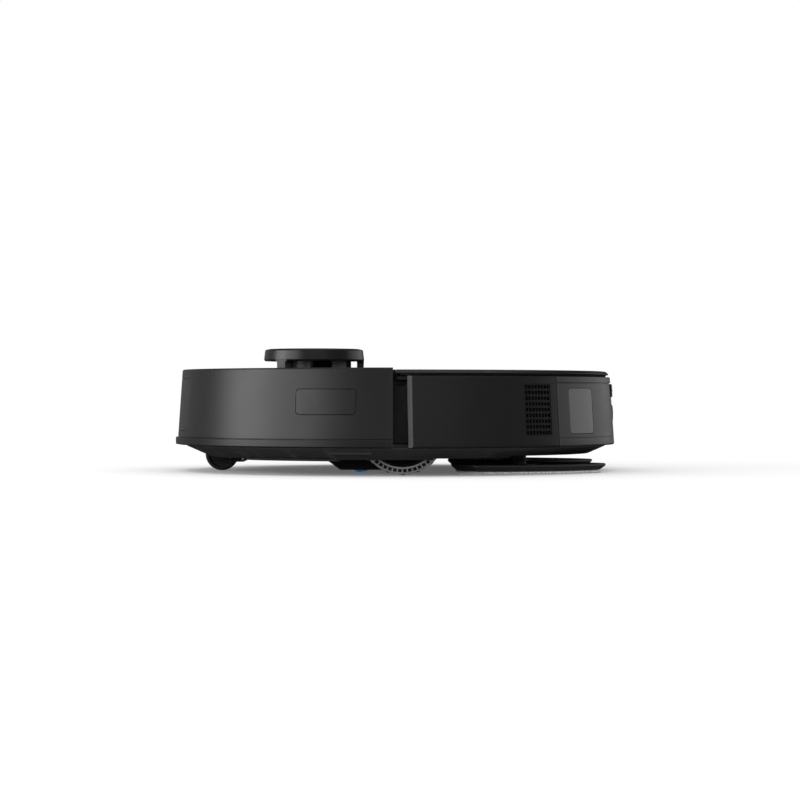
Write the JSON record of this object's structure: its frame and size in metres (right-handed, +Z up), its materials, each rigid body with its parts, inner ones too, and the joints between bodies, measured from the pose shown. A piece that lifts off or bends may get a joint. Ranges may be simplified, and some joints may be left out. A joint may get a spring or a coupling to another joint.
{
  "type": "robot vacuum",
  "caption": "Round floor-cleaning robot with a front bumper, range-finding turret, roller brush and spinning mops.",
  "frame": {"origin": "on the floor under the middle of the body", "axes": "+Z up, -Y forwards in the driving direction, +X to the robot's left"},
  "size_m": [0.3478, 0.3494, 0.097],
  "materials": {
    "charcoal_plastic": "fine moulded grain",
    "black_plastic": "satin",
    "gloss_window": "polished",
    "side_plate": "satin",
    "soft_rubber": "matte",
    "inner_plastic": "moulded",
    "smoked_plastic": "smoked",
    "tyre_rubber": "matte, toothed",
    "contact_metal": "plated",
    "steel": "brushed",
    "blue_bristle": "nylon bristles",
    "microfibre": "looped microfibre",
    "filter_paper": "pleated",
    "battery_wrap": "shrink wrap",
    "circuit_board": "solder mask"
  },
  "bodies": {
    "body": {"base_chassis": "charcoal_plastic", "cliff_sensor_left": "gloss_window", "cliff_sensor_right": "gloss_window", "front_deck": "charcoal_plastic", "mid_frame": "inner_plastic", "side_pillar_left": "black_plastic", "side_pillar_right": "black_plastic", "rear_shell_left": "charcoal_plastic", "rear_shell_right": "charcoal_plastic", "vent_grille_left": "black_plastic", "vent_grille_right": "black_plastic", "rear_panel": "charcoal_plastic", "rear_window_left": "side_plate", "rear_window_right": "side_plate", "charge_contact_left": "contact_metal", "charge_contact_right": "contact_metal", "water_inlet": "soft_rubber", "turret_base": "black_plastic", "roller_brush_guard": "black_plastic", "roller_housing": "inner_plastic", "roller_motor": "steel", "side_brush_motor": "steel", "battery_pack": "battery_wrap", "main_circuit_board": "circuit_board", "fan_housing": "inner_plastic", "water_tank": "smoked_plastic", "water_pump": "inner_plastic"},
    "bumper": {"bumper_shell": "charcoal_plastic", "bumper_strip": "soft_rubber", "front_window": "gloss_window", "side_window_left": "gloss_window", "side_window_right": "gloss_window"},
    "turret_cap": {"turret_cap": "charcoal_plastic"},
    "turret_rotor": {"turret_rotor": "black_plastic"},
    "top_cover": {"top_cover": "charcoal_plastic"},
    "dust_bin": {"dust_bin": "smoked_plastic", "dust_bin_lid": "black_plastic", "dust_filter": "filter_paper"},
    "start_button": {"start_button": "gloss_window"},
    "home_button": {"home_button": "gloss_window"},
    "left_arm": {"wheel_arm_left": "inner_plastic", "drive_motor_left": "steel"},
    "left_wheel": {"wheel_hub_left": "black_plastic", "tyre_left": "tyre_rubber"},
    "right_arm": {"wheel_arm_right": "inner_plastic", "drive_motor_right": "steel"},
    "right_wheel": {"wheel_hub_right": "black_plastic", "tyre_right": "tyre_rubber"},
    "caster_fork": {"caster_fork": "black_plastic", "caster_axle": "steel"},
    "caster_wheel": {"caster_wheel": "soft_rubber"},
    "roller_brush": {"roller_brush": "blue_bristle"},
    "side_brush": {"side_brush": "blue_bristle"},
    "fan_impeller": {"fan_impeller": "black_plastic"},
    "left_mop_carriage": {"mop_gearbox_left": "inner_plastic"},
    "left_mop": {"mop_disc_left": "black_plastic", "mop_pad_left": "microfibre"},
    "right_mop_carriage": {"mop_gearbox_right": "inner_plastic"},
    "right_mop": {"mop_disc_right": "black_plastic", "mop_pad_right": "microfibre"}
  },
  "joints": [
    {"name": "bumper_press", "type": "slide", "parent": "body", "child": "bumper", "axis": [0, 1, 0], "range_m": [0, 0.002], "stiffness_N_per_m": 500, "springref_m": -0.003},
    {"name": "turret_cap_press", "type": "slide", "parent": "body", "child": "turret_cap", "axis": [0, 0, -1], "range_m": [0, 0.0012], "stiffness_N_per_m": 800, "springref_m": -0.002},
    {"name": "turret_spin", "type": "hinge", "parent": "body", "child": "turret_rotor", "pos_m": [0, -0.0592, 0.08], "axis": [0, 0, 1], "continuous": true},
    {"name": "cover_lift", "type": "slide", "parent": "body", "child": "top_cover", "axis": [0, 0, 1], "range_m": [0, 0.16]},
    {"name": "dust_bin_lift", "type": "slide", "parent": "body", "child": "dust_bin", "axis": [0, 0, 1], "range_m": [0, 0.08]},
    {"name": "start_press", "type": "slide", "parent": "body", "child": "start_button", "axis": [0, 0, -1], "range_m": [0, 0.0008], "stiffness_N_per_m": 600, "springref_m": -0.001},
    {"name": "home_press", "type": "slide", "parent": "body", "child": "home_button", "axis": [0, 0, -1], "range_m": [0, 0.0008], "stiffness_N_per_m": 600, "springref_m": -0.001},
    {"name": "left_suspension", "type": "hinge", "parent": "body", "child": "left_arm", "pos_m": [0.0957, -0.03, 0.042], "axis": [-1, 0, 0], "range_deg": [0, 22]},
    {"name": "right_suspension", "type": "hinge", "parent": "body", "child": "right_arm", "pos_m": [-0.0957, -0.03, 0.042], "axis": [-1, 0, 0], "range_deg": [0, 22]},
    {"name": "left_wheel_spin", "type": "hinge", "parent": "left_arm", "child": "left_wheel", "pos_m": [0.115, 0.005, 0.0343], "axis": [1, 0, 0], "continuous": true},
    {"name": "right_wheel_spin", "type": "hinge", "parent": "right_arm", "child": "right_wheel", "pos_m": [-0.115, 0.005, 0.0343], "axis": [1, 0, 0], "continuous": true},
    {"name": "caster_swivel", "type": "hinge", "parent": "body", "child": "caster_fork", "pos_m": [0, -0.132, 0.03], "axis": [0, 0, 1], "continuous": true},
    {"name": "caster_roll", "type": "hinge", "parent": "caster_fork", "child": "caster_wheel", "pos_m": [0, -0.139, 0.013], "axis": [1, 0, 0], "continuous": true},
    {"name": "roller_spin", "type": "hinge", "parent": "body", "child": "roller_brush", "pos_m": [0, -0.029, 0.0218], "axis": [1, 0, 0], "continuous": true},
    {"name": "side_brush_spin", "type": "hinge", "parent": "body", "child": "side_brush", "pos_m": [-0.106, -0.104, 0.012], "axis": [0, 0, 1], "continuous": true},
    {"name": "fan_spin", "type": "hinge", "parent": "body", "child": "fan_impeller", "pos_m": [-0.068, 0.04, 0.05], "axis": [0, 0, 1], "continuous": true},
    {"name": "left_mop_lift", "type": "slide", "parent": "body", "child": "left_mop_carriage", "axis": [0, 0, 1], "range_m": [0, 0.0045]},
    {"name": "right_mop_lift", "type": "slide", "parent": "body", "child": "right_mop_carriage", "axis": [0, 0, 1], "range_m": [0, 0.0045]},
    {"name": "left_mop_spin", "type": "hinge", "parent": "left_mop_carriage", "child": "left_mop", "pos_m": [0.068, 0.0944, 0.02], "axis": [0, 0, 1], "continuous": true},
    {"name": "right_mop_spin", "type": "hinge", "parent": "right_mop_carriage", "child": "right_mop", "pos_m": [-0.068, 0.0944, 0.02], "axis": [0, 0, 1], "continuous": true}
  ],
  "couplings": [
    {"joint": "dust_bin_lift", "follows": "cover_lift", "ratio": 0.5},
    {"joint": "right_mop_lift", "follows": "left_mop_lift", "ratio": 1},
    {"joint": "right_mop_spin", "follows": "left_mop_spin", "ratio": -1}
  ]
}
